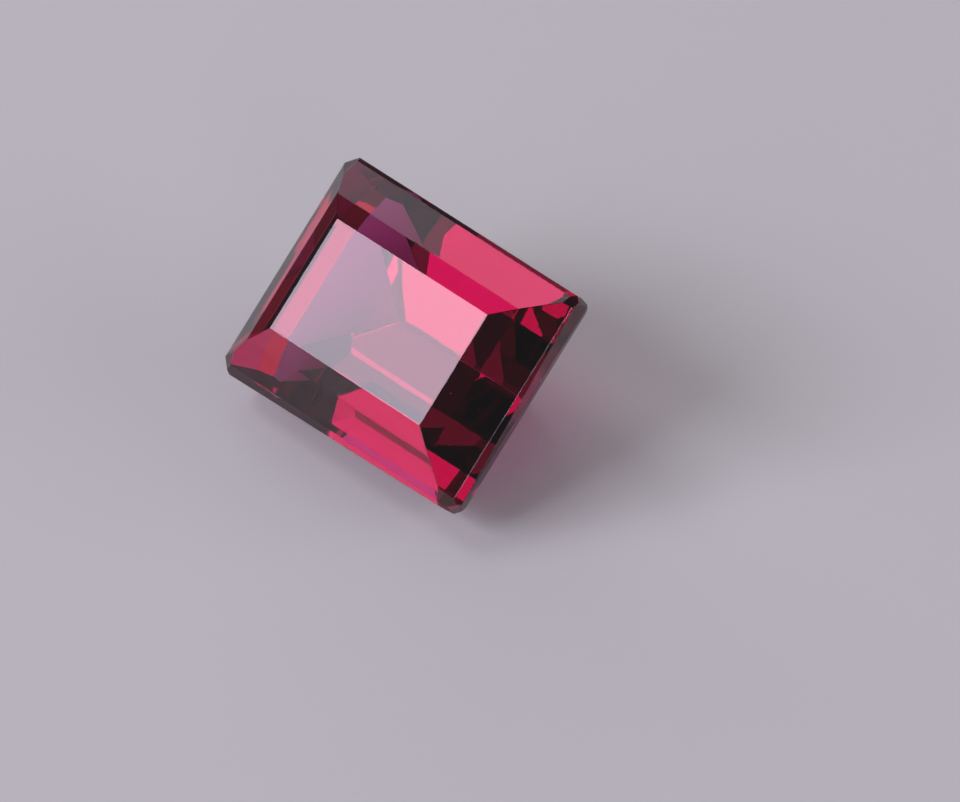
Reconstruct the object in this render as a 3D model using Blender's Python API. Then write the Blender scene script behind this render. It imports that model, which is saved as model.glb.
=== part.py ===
"""A faceted rhodolite garnet: a step-cut rectangle with small clipped corners and a deep pavilion.

The stone is cut the way a lapidary cuts it. A rough block is ground flat at one facet after another, each set by
the side it faces, its angle from the girdle plane and a point that its plane passes through. The finished stone is
then turned about its long axis until it lies on one long pavilion facet.

Units are metres. +X is the stone's long axis, +Z is up, and the table leans towards -Y. The origin is on the
surface the stone lies on, under the middle of its bounding box.
"""

import math
from typing import NamedTuple

import bmesh
import bpy
from mathutils import Matrix, Vector

MM = 0.001

# The crown rises from the girdle to the table in three steps on each side: a thin bevel, a wide step and a low one.
CROWN_HEIGHT = 0.97 * MM
LOW_STEP_ANGLE = 25.0
BEVEL_ANGLE = 50.0

# The pavilion goes down from the girdle in three tiers on each side, and ends in a short keel line. The stone
# lies on the keel tier of its -Y side.
KEEL_DEPTH = 3.68 * MM
REST_ANGLE = 39.0

# The clipped corners slope at their own angles.
CORNER_CROWN_ANGLE = 42.0
CORNER_PAVILION_ANGLE = 50.1
CORNER_GIRDLE_THICKNESS = 0.48 * MM

# The rough block is larger than the stone on every side.
ROUGH_LENGTH = 10.0 * MM
ROUGH_WIDTH = 8.0 * MM
ROUGH_HEIGHT = 10.0 * MM

# Corners of the cut that fall closer together than this become one point.
MEET_DISTANCE = 0.002 * MM
PLANE_TOLERANCE = 0.00001 * MM


class Side(NamedTuple):
    """One straight side. Reaches are distances from the stone's upright axis, seen square on to the table.

    upper_tier_reach is how far the upper tier comes in from the girdle, and keel_reach is where the keel tier's
    plane passes at the keel's depth. turn is how far the upright girdle face is out of square with the table, in
    degrees, anticlockwise from above: it makes the girdle thicker at one end than at the other, as on any stone
    that is ground by hand.
    """

    facing: tuple
    table_reach: float
    low_step_width: float
    bevel_width: float
    girdle_reach: float
    girdle_thickness: float
    upper_tier_angle: float
    upper_tier_reach: float
    middle_tier_angle: float
    keel_tier_angle: float
    keel_reach: float
    turn: float


SIDES = (
    Side(
        facing=(1, 0), table_reach=2.53 * MM, low_step_width=0.52 * MM, bevel_width=0.10 * MM,
        girdle_reach=4.03 * MM, girdle_thickness=0.25 * MM,
        upper_tier_angle=68.5, upper_tier_reach=0.15 * MM, middle_tier_angle=55.2,
        keel_tier_angle=37.3, keel_reach=1.68 * MM, turn=1.4,
    ),
    Side(
        facing=(-1, 0), table_reach=2.61 * MM, low_step_width=0.57 * MM, bevel_width=0.09 * MM,
        girdle_reach=3.93 * MM, girdle_thickness=0.57 * MM,
        upper_tier_angle=61.0, upper_tier_reach=0.57 * MM, middle_tier_angle=55.2,
        keel_tier_angle=41.4, keel_reach=1.23 * MM, turn=0.0,
    ),
    Side(
        facing=(0, 1), table_reach=1.54 * MM, low_step_width=0.53 * MM, bevel_width=0.10 * MM,
        girdle_reach=3.06 * MM, girdle_thickness=0.22 * MM,
        upper_tier_angle=77.3, upper_tier_reach=0.14 * MM, middle_tier_angle=61.5,
        keel_tier_angle=41.1, keel_reach=0.36 * MM, turn=0.0,
    ),
    Side(
        facing=(0, -1), table_reach=1.56 * MM, low_step_width=0.53 * MM, bevel_width=0.16 * MM,
        girdle_reach=3.04 * MM, girdle_thickness=0.38 * MM,
        upper_tier_angle=63.8, upper_tier_reach=0.43 * MM, middle_tier_angle=53.3,
        keel_tier_angle=REST_ANGLE, keel_reach=0.00 * MM, turn=1.0,
    ),
)

# The clipped corners: how far along each side the clip starts, from the sharp corner it takes away.
CORNER_CLIPS = {
    (1, 1): 0.21 * MM,
    (-1, 1): 0.29 * MM,
    (-1, -1): 0.26 * MM,
    (1, -1): 0.32 * MM,
}


def clear_scene():
    for obj in list(bpy.data.objects):
        bpy.data.objects.remove(obj, do_unlink=True)


def collection(name):
    made = bpy.data.collections.new(name)
    bpy.context.scene.collection.children.link(made)
    return made


def rough_block():
    """A plain block centred on the stone's axis, with the girdle's upper edge at height zero."""
    bm = bmesh.new()
    size = Matrix.Diagonal((ROUGH_LENGTH, ROUGH_WIDTH, ROUGH_HEIGHT, 1.0))
    bmesh.ops.create_cube(bm, size=1.0, matrix=size)
    return bm


def grind(bm, point, normal):
    """Grinds away all that lies outside one plane and closes the stone with a new flat facet."""
    cut = bmesh.ops.bisect_plane(
        bm,
        geom=bm.verts[:] + bm.edges[:] + bm.faces[:],
        dist=PLANE_TOLERANCE,
        plane_co=point,
        plane_no=normal,
        clear_outer=True,
    )
    rim = [item for item in cut["geom_cut"] if isinstance(item, bmesh.types.BMEdge)]
    if len(rim) < 3:
        raise ValueError("a facet does not reach the stone")
    bmesh.ops.contextual_create(bm, geom=rim)


def facet(bm, facing, angle, reach, height):
    """Grinds one sloping facet. angle is its slope from the girdle plane, positive on the crown and negative on the
    pavilion, and reach and height give a point on it."""
    out = Vector((*facing, 0.0)).normalized()
    slope = math.radians(abs(angle))
    rise = math.copysign(math.cos(slope), angle)
    normal = out * math.sin(slope) + Vector((0.0, 0.0, rise))
    grind(bm, out * reach + Vector((0.0, 0.0, height)), normal)


def girdle(bm, facing, reach, turn=0.0):
    """Grinds one upright face of the girdle, turned about the middle of its side."""
    out = Vector((*facing, 0.0)).normalized()
    grind(bm, out * reach, Matrix.Rotation(math.radians(turn), 3, "Z") @ out)


def drop(width, angle):
    """How far a slope of this angle falls over this width."""
    return width * math.tan(math.radians(angle))


def cut_crown(bm, side):
    """Cuts a side's low step, wide step and bevel. The wide step takes up what the other two leave."""
    low_edge = side.table_reach + side.low_step_width
    low_height = CROWN_HEIGHT - drop(side.low_step_width, LOW_STEP_ANGLE)
    bevel_edge = side.girdle_reach - side.bevel_width
    bevel_height = drop(side.bevel_width, BEVEL_ANGLE)
    wide_angle = math.degrees(math.atan2(low_height - bevel_height, bevel_edge - low_edge))
    facet(bm, side.facing, LOW_STEP_ANGLE, side.table_reach, CROWN_HEIGHT)
    facet(bm, side.facing, wide_angle, bevel_edge, bevel_height)
    facet(bm, side.facing, BEVEL_ANGLE, side.girdle_reach, 0.0)


def cut_pavilion(bm, side):
    """Cuts a side's upper, middle and keel tiers."""
    top = -side.girdle_thickness
    middle_top = top - drop(side.upper_tier_reach, side.upper_tier_angle)
    facet(bm, side.facing, -side.upper_tier_angle, side.girdle_reach, top)
    facet(bm, side.facing, -side.middle_tier_angle, side.girdle_reach - side.upper_tier_reach, middle_top)
    facet(bm, side.facing, -side.keel_tier_angle, side.keel_reach, -KEEL_DEPTH)


def corner_reach(corner, clip):
    """How far from the axis a clipped corner's girdle face stands, measured square to that face."""
    reaches = [side.girdle_reach for side in SIDES if Vector(side.facing).dot(Vector(corner)) > 0]
    return (sum(reaches) - clip) / math.sqrt(2.0)


def cut_corner(bm, corner, clip):
    """Cuts the girdle face, one crown facet and one pavilion facet of one clipped corner."""
    reach = corner_reach(corner, clip)
    girdle(bm, corner, reach)
    facet(bm, corner, CORNER_CROWN_ANGLE, reach, 0.0)
    facet(bm, corner, -CORNER_PAVILION_ANGLE, reach, -CORNER_GIRDLE_THICKNESS)


def cut_stone():
    bm = rough_block()
    grind(bm, Vector((0.0, 0.0, CROWN_HEIGHT)), Vector((0.0, 0.0, 1.0)))
    for side in SIDES:
        girdle(bm, side.facing, side.girdle_reach, side.turn)
        cut_crown(bm, side)
        cut_pavilion(bm, side)
    for corner, clip in CORNER_CLIPS.items():
        cut_corner(bm, corner, clip)
    bmesh.ops.remove_doubles(bm, verts=bm.verts[:], dist=MEET_DISTANCE)
    bmesh.ops.recalc_face_normals(bm, faces=bm.faces[:])
    return bm


def lay_down(bm):
    """Turns the stone onto its -Y keel-tier facet and puts the origin under the middle of its bounding box."""
    turn = Matrix.Rotation(math.radians(REST_ANGLE), 4, "X")
    bmesh.ops.transform(bm, matrix=turn, verts=bm.verts[:])
    lows = [min(v.co[axis] for v in bm.verts) for axis in range(3)]
    highs = [max(v.co[axis] for v in bm.verts) for axis in range(3)]
    middle = Vector(((lows[0] + highs[0]) / 2, (lows[1] + highs[1]) / 2, lows[2]))
    bmesh.ops.translate(bm, vec=-middle, verts=bm.verts[:])


def garnet_material():
    colour = (0.42, 0.015, 0.09, 1.0)
    mat = bpy.data.materials.new("rhodolite")
    mat.use_nodes = True
    mat.diffuse_color = colour
    shader = mat.node_tree.nodes["Principled BSDF"]
    shader.inputs["Base Color"].default_value = colour
    shader.inputs["Roughness"].default_value = 0.02
    shader.inputs["Metallic"].default_value = 0.0
    shader.inputs["IOR"].default_value = 1.76
    return mat


def main():
    clear_scene()
    stone = collection("faceted garnet")
    bm = cut_stone()
    lay_down(bm)
    mesh = bpy.data.meshes.new("garnet")
    bm.to_mesh(mesh)
    bm.free()
    mesh.materials.append(garnet_material())
    stone.objects.link(bpy.data.objects.new("garnet", mesh))


main()
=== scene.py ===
"""The looks of a faceted rhodolite garnet: a clear crimson stone on a pale floor, lying on one facet."""

import math
import random
from typing import NamedTuple

import bmesh
import bpy
from mathutils import Matrix, Vector


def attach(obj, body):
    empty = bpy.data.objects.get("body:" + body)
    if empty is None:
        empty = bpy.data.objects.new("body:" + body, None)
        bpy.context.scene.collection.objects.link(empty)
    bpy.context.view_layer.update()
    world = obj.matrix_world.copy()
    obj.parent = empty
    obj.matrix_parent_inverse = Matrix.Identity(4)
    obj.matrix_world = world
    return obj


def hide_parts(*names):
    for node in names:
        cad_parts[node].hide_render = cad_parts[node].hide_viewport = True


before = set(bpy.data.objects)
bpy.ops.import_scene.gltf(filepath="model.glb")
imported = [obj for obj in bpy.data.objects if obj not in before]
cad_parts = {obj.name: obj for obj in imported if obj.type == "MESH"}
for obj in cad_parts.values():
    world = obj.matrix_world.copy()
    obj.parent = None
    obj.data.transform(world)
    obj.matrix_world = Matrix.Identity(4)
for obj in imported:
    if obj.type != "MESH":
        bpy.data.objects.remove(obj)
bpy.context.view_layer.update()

MM = 0.001

# The camera, set by the photograph's viewing angle. The stone's own centre sits left of and above the middle.
VIEW_AZIMUTH = 47.0
VIEW_ELEVATION = 42.33
VIEW_ROLL = -2.96
VIEW_DISTANCE = 289.87 * MM
VIEW_NEAR = VIEW_DISTANCE / 100
VIEW_FAR = VIEW_DISTANCE * 20
LENS_MM = 450.0
SENSOR_MM = 36.0
STONE_CENTRE = Vector((-0.082, -0.336, 2.860)) * MM
CENTRE_RIGHT = -1.965 * MM
CENTRE_UP = 1.658 * MM


class SoftBox(NamedTuple):
    """One soft box, facing the stone.

    azimuth is counted from +X, anticlockwise. half_width and half_height are how far the box reaches each way
    as the stone sees it, for each unit of distance. roll turns the box in its own plane.
    """

    name: str
    azimuth: float
    elevation: float
    half_width: float
    half_height: float
    radiance: float
    colour: tuple
    roll: float = 0.0


# The studio light. The boxes are far enough away to look the same from every facet, and their edges keep
# clear of the directions that single facets mirror to the camera, so each facet's own reflection is even.
LIGHT_DISTANCE = 600 * MM
LILAC = (0.95, 0.87, 1.06)
PALE_LILAC = (0.98, 0.92, 1.04)
PALE_ROSE = (1.0, 0.94, 1.02)
ROSE = (1.0, 0.92, 1.06)
SOFT_BOXES = (
    SoftBox("key", -119.6, 36.2, 0.325, 0.230, 3.95, LILAC, roll=36.9),
    SoftBox("front", -106.0, 26.0, 0.660, 0.460, 0.60, PALE_LILAC),
    SoftBox("upper", -152.0, 54.0, 0.240, 0.090, 0.90, PALE_LILAC, roll=-49.0),
    SoftBox("high_left", -171.0, 50.0, 0.200, 0.100, 3.80, PALE_ROSE),
    SoftBox("left", 143.0, 46.0, 0.170, 0.170, 0.75, ROSE),
    SoftBox("low_left", 153.0, 10.0, 0.570, 0.250, 1.20, PALE_ROSE),
    SoftBox("right", -27.0, 27.0, 0.110, 0.110, 2.10, LILAC),
    SoftBox("back", 31.0, 9.0, 0.500, 0.400, 1.50, PALE_ROSE),
)
ROOM_COLOUR = (1.0, 0.94, 1.04, 1.0)
ROOM_STRENGTH = 0.11

# The floor: how far it reaches each way, in metres, and its looks. It is nearly matt, so it hardly mirrors
# the boxes.
FLOOR_REACH = 0.8
FLOOR_COLOUR = (0.8, 0.81, 0.79, 1.0)
FLOOR_ROUGHNESS = 0.85
FLOOR_GLOSS = 0.15

# The gap that keeps the resting facet off the floor, as grit does.
REST_GAP = 0.02 * MM

# The way the table faces. The cosine to it is less than UPRIGHT for a girdle face, which stands square to the
# table, and more than CROWN_FACING for a crown facet.
TABLE_FACING = Vector((0.0, -0.62932, 0.777146))
UPRIGHT = 0.05
CROWN_FACING = 0.3

# Clear rhodolite: how fast it bends light, and how much red, green and blue it takes from each metre of path.
REFRACTION = 1.76
SURFACE_TINT = (1.0, 0.97, 0.98, 1.0)
ABSORPTION_PER_METRE = 900.0
ABSORPTION_COLOUR = (0.802, 0.111, 0.572, 1.0)

# The ground girdle, and the polish marks of the facets: streaks, counted for each metre, that run at a slant.
GIRDLE_ROUGHNESS = 0.12
MARKS_PER_METRE = (2500.0, 14000.0, 9000.0)
MARKS_TURN = (0.3, 0.5, 0.9)
MARKS_DETAIL = 3.0
MARKS_HAZE = 0.02
MARKS_STRENGTH = 0.02
MARKS_DEPTH = 0.01 * MM

# Worn edges: each edge between two facets is taken down to a strip this wide, within a range.
EDGE_WEAR = (0.010 * MM, 0.024 * MM)
GIRDLE_WEAR = (0.016 * MM, 0.034 * MM)
SHARP_ENOUGH = math.radians(3.0)

# Faces that bend less than this belong to one facet, and corners closer together than these are one.
FACET_ANGLE = math.radians(0.6)
CAD_WELD = 0.0005 * MM
WORN_WELD = 0.0002 * MM
PLANE_TOLERANCE = 0.00001 * MM

# Nicks along the girdle's upper rim: how many for each millimetre, how large the smallest and largest are and
# how much smaller some of them turn out, how far along the edge they may fall, and how far out of the stone
# each one's middle is, in parts of its radius.
NICK_SEED = 7
NICKS_PER_MM = 1.1
NICK_RADIUS = (0.018 * MM, 0.055 * MM)
NICK_SHRINK = (0.6, 1.0)
NICK_ALONG = (0.03, 0.97)
NICK_OUT = (0.45, 0.8)

# The shape of a nick: a ball drawn out, flattened and made uneven.
NICK_STRETCH = (1.0, 1.6)
NICK_FLATTEN = (0.7, 1.0)
NICK_UNEVEN = (0.95, 1.05)

# The nicks that the photograph shows: a chip at the lower corner in two bites, three small ones along the
# lower rim, and one on the upper rim by the top corner.
SEEN_NICKS = (
    (Vector((3.69, -2.665, 0.932)) * MM, 0.150 * MM),
    (Vector((3.55, -2.715, 0.972)) * MM, 0.060 * MM),
    (Vector((-0.02, -2.715, 0.942)) * MM, 0.065 * MM),
    (Vector((0.36, -2.715, 0.952)) * MM, 0.050 * MM),
    (Vector((0.47, -2.715, 0.952)) * MM, 0.036 * MM),
    (Vector((-2.65, 1.525, 4.802)) * MM, 0.040 * MM),
)

# How many times light may turn inside the stone.
LIGHT_BOUNCES = 24


def camera_axes():
    """The camera's right, up and backward directions in the row frame."""
    azimuth, elevation, roll = (math.radians(v) for v in (VIEW_AZIMUTH, VIEW_ELEVATION, VIEW_ROLL))
    back = Vector((
        math.sin(azimuth) * math.cos(elevation),
        -math.cos(azimuth) * math.cos(elevation),
        math.sin(elevation),
    ))
    level = Vector((math.cos(azimuth), math.sin(azimuth), 0.0))
    upright = back.cross(level)
    right = math.cos(roll) * level + math.sin(roll) * upright
    up = math.cos(roll) * upright - math.sin(roll) * level
    return right, up, back


def add_camera():
    right, up, back = camera_axes()
    data = bpy.data.cameras.new("camera")
    data.sensor_width = SENSOR_MM
    data.lens = LENS_MM
    data.clip_start = VIEW_NEAR
    data.clip_end = VIEW_FAR
    camera = bpy.data.objects.new("camera", data)
    place = STONE_CENTRE - right * CENTRE_RIGHT - up * CENTRE_UP + back * VIEW_DISTANCE
    turn = Matrix((right, up, back)).transposed().to_4x4()
    camera.matrix_world = Matrix.Translation(place) @ turn
    bpy.context.scene.collection.objects.link(camera)
    bpy.context.scene.camera = camera


def add_soft_box(box):
    azimuth, elevation, roll = (math.radians(angle) for angle in (box.azimuth, box.elevation, box.roll))
    out = Vector((
        math.cos(azimuth) * math.cos(elevation),
        math.sin(azimuth) * math.cos(elevation),
        math.sin(elevation),
    ))
    level = Vector((-math.sin(azimuth), math.cos(azimuth), 0.0))
    across = math.cos(roll) * level + math.sin(roll) * out.cross(level)
    width = 2 * box.half_width * LIGHT_DISTANCE
    height = 2 * box.half_height * LIGHT_DISTANCE
    data = bpy.data.lights.new(box.name, "AREA")
    data.shape = "RECTANGLE"
    data.size = width
    data.size_y = height
    data.energy = box.radiance * math.pi * width * height
    data.color = box.colour
    light = bpy.data.objects.new(box.name, data)
    turn = Matrix((across, out.cross(across), out)).transposed().to_4x4()
    light.matrix_world = Matrix.Translation(STONE_CENTRE + out * LIGHT_DISTANCE) @ turn
    bpy.context.scene.collection.objects.link(light)


def add_studio():
    """Adds the soft boxes and the faint even light of the room."""
    for box in SOFT_BOXES:
        add_soft_box(box)
    world = bpy.data.worlds.new("studio")
    bpy.context.scene.world = world
    world.use_nodes = True
    background = world.node_tree.nodes["Background"]
    background.inputs["Color"].default_value = ROOM_COLOUR
    background.inputs["Strength"].default_value = ROOM_STRENGTH


def add_floor():
    bm = bmesh.new()
    bmesh.ops.create_grid(bm, x_segments=1, y_segments=1, size=FLOOR_REACH)
    bmesh.ops.translate(bm, vec=(0.0, 0.0, -REST_GAP), verts=bm.verts[:])
    mesh = bpy.data.meshes.new("floor")
    bm.to_mesh(mesh)
    bm.free()
    floor = bpy.data.objects.new("floor", mesh)
    bpy.context.scene.collection.objects.link(floor)
    mat = bpy.data.materials.new("pale_floor")
    mat.use_nodes = True
    shader = mat.node_tree.nodes["Principled BSDF"]
    shader.inputs["Base Color"].default_value = FLOOR_COLOUR
    shader.inputs["Roughness"].default_value = FLOOR_ROUGHNESS
    shader.inputs["Specular IOR Level"].default_value = FLOOR_GLOSS
    mesh.materials.append(mat)


def math_node(nodes, links, operation, first, second):
    """A Math node. Each input is a number or another node's output."""
    node = nodes.new("ShaderNodeMath")
    node.operation = operation
    for socket, value in zip(node.inputs, (first, second)):
        if isinstance(value, (int, float)):
            socket.default_value = value
        else:
            links.new(value, socket)
    return node.outputs["Value"]


def rhodolite():
    """Clear crimson crystal with a high polish, a few faint polish marks, and a ground girdle."""
    mat = bpy.data.materials.new("rhodolite")
    mat.use_nodes = True
    nodes, links = mat.node_tree.nodes, mat.node_tree.links
    shader = nodes["Principled BSDF"]
    shader.inputs["Base Color"].default_value = SURFACE_TINT
    shader.inputs["IOR"].default_value = REFRACTION
    shader.inputs["Transmission Weight"].default_value = 1.0
    depth = nodes.new("ShaderNodeVolumeAbsorption")
    depth.inputs["Color"].default_value = ABSORPTION_COLOUR
    depth.inputs["Density"].default_value = ABSORPTION_PER_METRE
    links.new(depth.outputs["Volume"], nodes["Material Output"].inputs["Volume"])

    # The way a face looks tells the girdle from the facets.
    surface = nodes.new("ShaderNodeTexCoord")
    place = surface.outputs["Object"]
    facing = nodes.new("ShaderNodeVectorMath")
    facing.operation = "DOT_PRODUCT"
    links.new(surface.outputs["Normal"], facing.inputs[0])
    facing.inputs[1].default_value = TABLE_FACING
    slope = math_node(nodes, links, "ABSOLUTE", facing.outputs["Value"], 0.0)
    girdle = math_node(nodes, links, "LESS_THAN", slope, UPRIGHT)

    # Polish marks: fine streaks, long in one direction.
    stretch = nodes.new("ShaderNodeMapping")
    stretch.inputs["Scale"].default_value = MARKS_PER_METRE
    stretch.inputs["Rotation"].default_value = MARKS_TURN
    links.new(place, stretch.inputs["Vector"])
    marks = nodes.new("ShaderNodeTexNoise")
    marks.inputs["Scale"].default_value = 1.0
    marks.inputs["Detail"].default_value = MARKS_DETAIL
    links.new(stretch.outputs["Vector"], marks.inputs["Vector"])
    haze = math_node(nodes, links, "MULTIPLY", marks.outputs["Fac"], MARKS_HAZE)
    ground = math_node(nodes, links, "MULTIPLY", girdle, GIRDLE_ROUGHNESS)
    links.new(math_node(nodes, links, "ADD", haze, ground), shader.inputs["Roughness"])
    bump = nodes.new("ShaderNodeBump")
    bump.inputs["Strength"].default_value = MARKS_STRENGTH
    bump.inputs["Distance"].default_value = MARKS_DEPTH
    links.new(marks.outputs["Fac"], bump.inputs["Height"])
    links.new(bump.outputs["Normal"], shader.inputs["Normal"])
    return mat


def grind(bm, point, normal):
    """Takes away all that lies outside one plane and closes the stone with a new flat face."""
    cut = bmesh.ops.bisect_plane(
        bm,
        geom=bm.verts[:] + bm.edges[:] + bm.faces[:],
        dist=PLANE_TOLERANCE,
        plane_co=point,
        plane_no=normal,
        clear_outer=True,
    )
    rim = [item for item in cut["geom_cut"] if isinstance(item, bmesh.types.BMEdge)]
    if len(rim) > 2:
        bmesh.ops.contextual_create(bm, geom=rim)


def upright(face):
    """Whether a face belongs to the girdle."""
    return abs(face.normal.dot(TABLE_FACING)) < UPRIGHT


def wear_edges(bm, seeded):
    """Takes every edge between two facets down to a very narrow flat strip."""
    cuts = []
    for edge in bm.edges:
        first, second = (face.normal for face in edge.link_faces)
        bend = first.angle(second)
        if bend < SHARP_ENOUGH:
            continue
        middle = (edge.verts[0].co + edge.verts[1].co) / 2
        at_girdle = any(upright(face) for face in edge.link_faces)
        width = seeded.uniform(*(GIRDLE_WEAR if at_girdle else EDGE_WEAR))
        normal = (first + second).normalized()
        cuts.append((middle - normal * (width / 2 * math.tan(bend / 2)), normal))
    for point, normal in cuts:
        grind(bm, point, normal)


def rim_nicks(bm, seeded):
    """Places and radii for tiny nicks, scattered along the girdle's upper rim."""
    nicks = []
    for edge in bm.edges:
        walls = [face for face in edge.link_faces if upright(face)]
        crown = [face for face in edge.link_faces if face.normal.dot(TABLE_FACING) > CROWN_FACING]
        if not walls or not crown:
            continue
        first, second = (vert.co for vert in edge.verts)
        out = (walls[0].normal + crown[0].normal).normalized()
        for _ in range(round((second - first).length / MM * NICKS_PER_MM)):
            radius = seeded.uniform(*NICK_RADIUS) * seeded.uniform(*NICK_SHRINK)
            place = first.lerp(second, seeded.uniform(*NICK_ALONG)) + out * radius * seeded.uniform(*NICK_OUT)
            nicks.append((place, radius))
    return nicks


def nick_cutter(nicks, seeded):
    """One object of small uneven balls, to be taken out of the stone."""
    bm = bmesh.new()
    for place, radius in nicks:
        angle = seeded.uniform(0, math.tau)
        axis = Vector((seeded.random(), seeded.random(), 1.0))
        turn = Matrix.Rotation(angle, 4, axis)
        squash = Matrix.Diagonal((seeded.uniform(*NICK_STRETCH), 1.0, seeded.uniform(*NICK_FLATTEN), 1.0))
        ball = bmesh.ops.create_icosphere(bm, subdivisions=2, radius=radius, matrix=turn @ squash)
        for vert in ball["verts"]:
            vert.co = vert.co * seeded.uniform(*NICK_UNEVEN) + place
    mesh = bpy.data.meshes.new("nicks")
    bm.to_mesh(mesh)
    bm.free()
    cutter = bpy.data.objects.new("nicks", mesh)
    bpy.context.scene.collection.objects.link(cutter)
    return cutter


def take_out(stone, cutter):
    """Takes the cutter's shape out of the stone and removes the cutter."""
    cut = stone.modifiers.new("nicks", "BOOLEAN")
    cut.operation = "DIFFERENCE"
    cut.solver = "EXACT"
    cut.use_self = True
    cut.object = cutter
    bpy.context.view_layer.update()
    whole = stone.data
    stone.data = bpy.data.meshes.new_from_object(stone.evaluated_get(bpy.context.evaluated_depsgraph_get()))
    stone.modifiers.clear()
    bpy.data.meshes.remove(whole)
    cutter_mesh = cutter.data
    bpy.data.objects.remove(cutter)
    bpy.data.meshes.remove(cutter_mesh)
    for face in stone.data.polygons:
        face.use_smooth = False


def add_polished_stone():
    """Adds the stone, with each facet one flat face, worn edges, and the tiny nicks of a loose stone."""
    seeded = random.Random(NICK_SEED)
    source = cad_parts["garnet"]
    bm = bmesh.new()
    bm.from_mesh(source.data)
    bmesh.ops.remove_doubles(bm, verts=bm.verts[:], dist=CAD_WELD)
    bmesh.ops.dissolve_limit(bm, angle_limit=FACET_ANGLE, verts=bm.verts[:], edges=bm.edges[:])
    bm.normal_update()
    nicks = list(SEEN_NICKS) + rim_nicks(bm, seeded)
    wear_edges(bm, seeded)
    bmesh.ops.remove_doubles(bm, verts=bm.verts[:], dist=WORN_WELD)
    bmesh.ops.recalc_face_normals(bm, faces=bm.faces[:])
    mesh = bpy.data.meshes.new("faceted_stone")
    bm.to_mesh(mesh)
    bm.free()
    stone = bpy.data.objects.new("faceted_stone", mesh)
    bpy.context.scene.collection.objects.link(stone)
    mesh.materials.append(rhodolite())
    take_out(stone, nick_cutter(nicks, seeded))
    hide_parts("garnet")
    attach(stone, "root")


def set_light_paths():
    """Lets light turn many times inside the stone before it leaves, and shows colours as they are."""
    cycles = bpy.context.scene.cycles
    cycles.max_bounces = LIGHT_BOUNCES
    cycles.transmission_bounces = LIGHT_BOUNCES
    cycles.glossy_bounces = LIGHT_BOUNCES
    bpy.context.scene.view_settings.view_transform = "Standard"


add_camera()
add_studio()
add_floor()
add_polished_stone()
set_light_paths()
